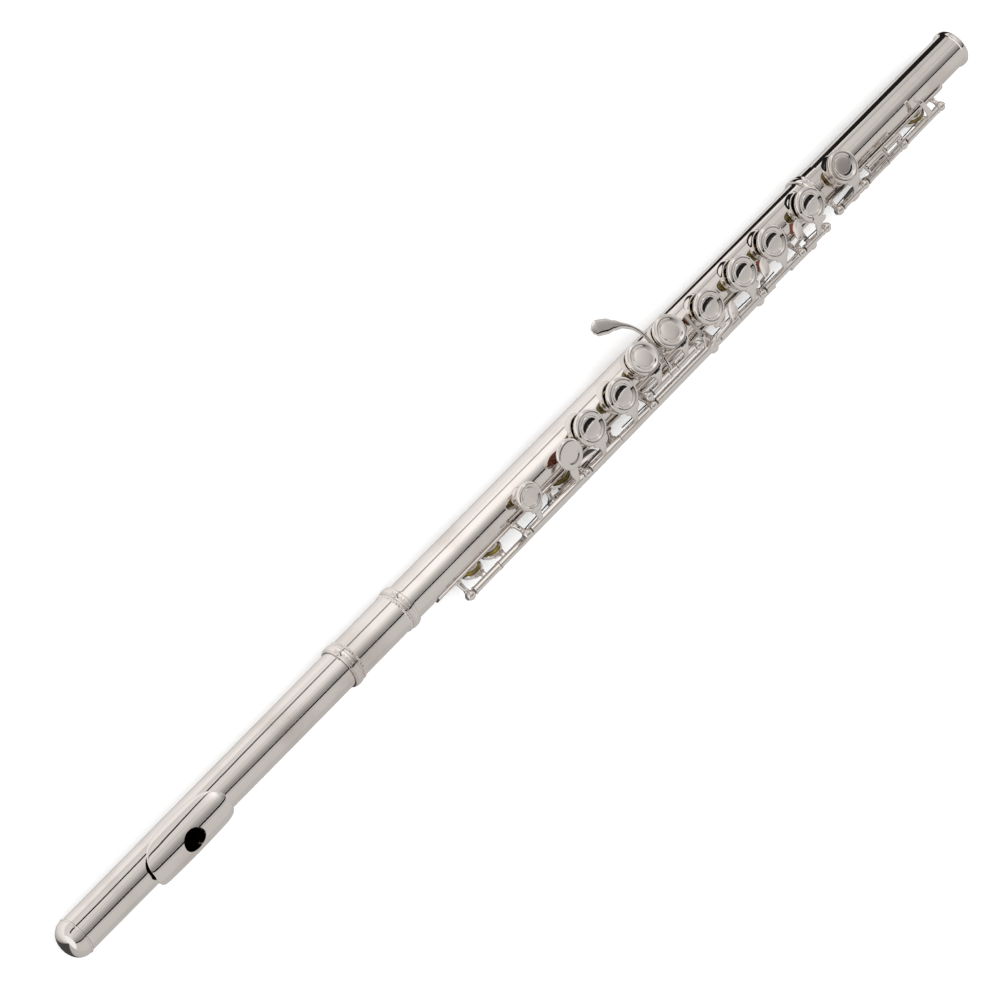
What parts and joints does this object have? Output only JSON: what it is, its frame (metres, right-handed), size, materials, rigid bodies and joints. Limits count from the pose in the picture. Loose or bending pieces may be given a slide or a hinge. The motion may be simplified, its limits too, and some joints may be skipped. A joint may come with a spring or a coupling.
{
  "type": "concert flute",
  "caption": "Transverse metal flute in three joined tubes, with a raised lip plate and closed key cups on long hinge tubes held by ball posts",
  "frame": {"origin": "middle of the flute's underside, under the middle of its length and width", "axes": "+X runs along the tube from the crown to the foot, +Z is the side the main key cups face, -Y is the player's side, where the rods are"},
  "size_m": [0.67, 0.0568, 0.0392],
  "materials": {
    "silver_plate": "polished silver plate",
    "steel": "drawn steel rod",
    "pad": "olive gold pad skin over felt",
    "cork": "red brown cork"
  },
  "bodies": {
    "body": {"body_tube": "silver_plate", "barrel": "silver_plate", "main_rib": "silver_plate", "main_rod": "steel", "thumb_rod": "steel"},
    "head": {"head_tube": "silver_plate", "lip_plate": "silver_plate", "embouchure_riser": "silver_plate"},
    "crown": {"crown": "silver_plate"},
    "stopper": {"stopper_screw": "silver_plate", "stopper_nut": "silver_plate", "stopper_cork": "cork"},
    "foot": {"foot_tube": "silver_plate", "foot_rib": "silver_plate", "foot_d_sharp_rod": "steel"},
    "c_sharp": {"c_sharp_key": "silver_plate", "c_sharp_pad": "pad"},
    "b_flat": {"b_flat_key": "silver_plate", "b_flat_pad": "pad"},
    "a": {"a_key": "silver_plate", "a_pad": "pad"},
    "g": {"g_keys": "silver_plate", "upper_g_pad": "pad", "lower_g_pad": "pad"},
    "g_sharp": {"g_sharp_key": "silver_plate", "g_sharp_pad": "pad"},
    "f_sharp": {"f_sharp_key": "silver_plate", "f_sharp_pad": "pad"},
    "f": {"f_key": "silver_plate", "f_pad": "pad"},
    "e": {"e_key": "silver_plate", "e_pad": "pad"},
    "d": {"d_key": "silver_plate", "d_pad": "pad"},
    "b_flat_shake": {"b_flat_shake_lever": "silver_plate"},
    "d_trill": {"d_trill_key": "silver_plate", "d_trill_pad": "pad"},
    "d_sharp_trill": {"d_sharp_trill_key": "silver_plate", "d_sharp_trill_pad": "pad"},
    "thumb_b": {"thumb_b_key": "silver_plate", "thumb_b_pad": "pad"},
    "thumb_b_flat": {"thumb_b_flat_lever": "silver_plate"},
    "foot_d_sharp": {"foot_d_sharp_key": "silver_plate", "foot_d_sharp_pad": "pad"},
    "foot_c_sharp": {"foot_c_sharp_key": "silver_plate", "foot_c_sharp_pad": "pad"},
    "foot_c": {"foot_c_key": "silver_plate", "foot_c_pad": "pad"},
    "c_sharp_roller": {"c_sharp_roller": "silver_plate"},
    "c_roller": {"c_roller": "silver_plate"}
  },
  "joints": [
    {"name": "head_tuning_slide", "type": "slide", "parent": "body", "child": "head", "axis": [-1, 0, 0], "range_m": [0, 0.015]},
    {"name": "crown_screw_turn", "type": "hinge", "parent": "head", "child": "crown", "pos_m": [-0.33, -0.00509, 0.02017], "axis": [1, 0, 0], "range_deg": [-360, 360]},
    {"name": "stopper_slide", "type": "slide", "parent": "head", "child": "stopper", "axis": [1, 0, 0], "range_m": [-0.001, 0.001]},
    {"name": "foot_turn", "type": "hinge", "parent": "body", "child": "foot", "pos_m": [0.211, -0.00509, 0.02017], "axis": [1, 0, 0], "range_deg": [-12, 12]},
    {"name": "c_sharp_hinge", "type": "hinge", "parent": "body", "child": "c_sharp", "pos_m": [-0.029, -0.02189, 0.02967], "axis": [1, 0, 0], "range_deg": [-8.5, 0], "stiffness_Nm_per_rad": 0.02, "springref_deg": 20.05},
    {"name": "b_flat_hinge", "type": "hinge", "parent": "body", "child": "b_flat", "pos_m": [0.019, -0.02189, 0.02967], "axis": [1, 0, 0], "range_deg": [-9, 0.5], "stiffness_Nm_per_rad": 0.02, "springref_deg": 20.05},
    {"name": "a_hinge", "type": "hinge", "parent": "body", "child": "a", "pos_m": [0.0434, -0.02189, 0.02967], "axis": [1, 0, 0], "range_deg": [-8.5, 0], "stiffness_Nm_per_rad": 0.02, "springref_deg": 20.05},
    {"name": "g_hinge", "type": "hinge", "parent": "body", "child": "g", "pos_m": [0.0761, -0.01649, 0.03237], "axis": [1, 0, 0], "range_deg": [-8.5, 0], "stiffness_Nm_per_rad": 0.02, "springref_deg": 20.05},
    {"name": "g_sharp_hinge", "type": "hinge", "parent": "body", "child": "g_sharp", "pos_m": [0.0761, -0.01649, 0.03237], "axis": [1, 0, 0], "range_deg": [-10, 0], "stiffness_Nm_per_rad": 0.02, "springref_deg": 20.05},
    {"name": "f_sharp_hinge", "type": "hinge", "parent": "body", "child": "f_sharp", "pos_m": [0.1119, -0.02189, 0.02967], "axis": [1, 0, 0], "range_deg": [-9, 0.5], "stiffness_Nm_per_rad": 0.02, "springref_deg": 20.05},
    {"name": "f_hinge", "type": "hinge", "parent": "body", "child": "f", "pos_m": [0.139, -0.02189, 0.02967], "axis": [1, 0, 0], "range_deg": [-8.5, 0], "stiffness_Nm_per_rad": 0.02, "springref_deg": 20.05},
    {"name": "e_hinge", "type": "hinge", "parent": "body", "child": "e", "pos_m": [0.1634, -0.02189, 0.02967], "axis": [1, 0, 0], "range_deg": [-8.5, 0], "stiffness_Nm_per_rad": 0.02, "springref_deg": 20.05},
    {"name": "d_hinge", "type": "hinge", "parent": "body", "child": "d", "pos_m": [0.1946, -0.02189, 0.02967], "axis": [1, 0, 0], "range_deg": [-8.5, 0], "stiffness_Nm_per_rad": 0.02, "springref_deg": 20.05},
    {"name": "b_flat_shake_hinge", "type": "hinge", "parent": "body", "child": "b_flat_shake", "pos_m": [0.1043, -0.02189, 0.02967], "axis": [1, 0, 0], "range_deg": [-5, 0], "stiffness_Nm_per_rad": 0.02, "springref_deg": 20.05},
    {"name": "d_trill_hinge", "type": "hinge", "parent": "body", "child": "d_trill", "pos_m": [-0.0516, -0.02429, 0.02297], "axis": [1, 0, 0], "range_deg": [-10, 0], "stiffness_Nm_per_rad": 0.03, "springref_deg": 20.05},
    {"name": "d_sharp_trill_hinge", "type": "hinge", "parent": "body", "child": "d_sharp_trill", "pos_m": [-0.066, -0.02429, 0.02297], "axis": [1, 0, 0], "range_deg": [-10, 0], "stiffness_Nm_per_rad": 0.03, "springref_deg": 20.05},
    {"name": "thumb_b_hinge", "type": "hinge", "parent": "body", "child": "thumb_b", "pos_m": [0.003, -0.02269, 0.01727], "axis": [1, 0, 0], "range_deg": [0, 10], "stiffness_Nm_per_rad": 0.02, "springref_deg": -20.05},
    {"name": "thumb_b_flat_hinge", "type": "hinge", "parent": "body", "child": "thumb_b_flat", "pos_m": [0.023, -0.02269, 0.01727], "axis": [1, 0, 0], "range_deg": [0, 8], "stiffness_Nm_per_rad": 0.02, "springref_deg": -20.05},
    {"name": "foot_d_sharp_hinge", "type": "hinge", "parent": "foot", "child": "foot_d_sharp", "pos_m": [0.2256, -0.02109, 0.02667], "axis": [1, 0, 0], "range_deg": [0, 10], "stiffness_Nm_per_rad": 0.02, "springref_deg": -20.05},
    {"name": "foot_c_sharp_hinge", "type": "hinge", "parent": "foot", "child": "foot_c_sharp", "pos_m": [0.261, -0.02109, 0.02667], "axis": [1, 0, 0], "range_deg": [-8, 0], "stiffness_Nm_per_rad": 0.02, "springref_deg": 20.05},
    {"name": "foot_c_hinge", "type": "hinge", "parent": "foot", "child": "foot_c", "pos_m": [0.294, -0.02109, 0.02667], "axis": [1, 0, 0], "range_deg": [-8, 0], "stiffness_Nm_per_rad": 0.02, "springref_deg": 20.05},
    {"name": "c_sharp_roller_spin", "type": "hinge", "parent": "foot_c_sharp", "child": "c_sharp_roller", "pos_m": [0.2457, -0.01529, 0.03057], "axis": [1, 0, 0], "continuous": true},
    {"name": "c_roller_spin", "type": "hinge", "parent": "foot_c", "child": "c_roller", "pos_m": [0.2608, -0.01529, 0.03057], "axis": [1, 0, 0], "continuous": true}
  ],
  "couplings": [
    {"joint": "b_flat_hinge", "follows": "a_hinge", "ratio": 1},
    {"joint": "f_sharp_hinge", "follows": "f_hinge", "ratio": 1}
  ]
}
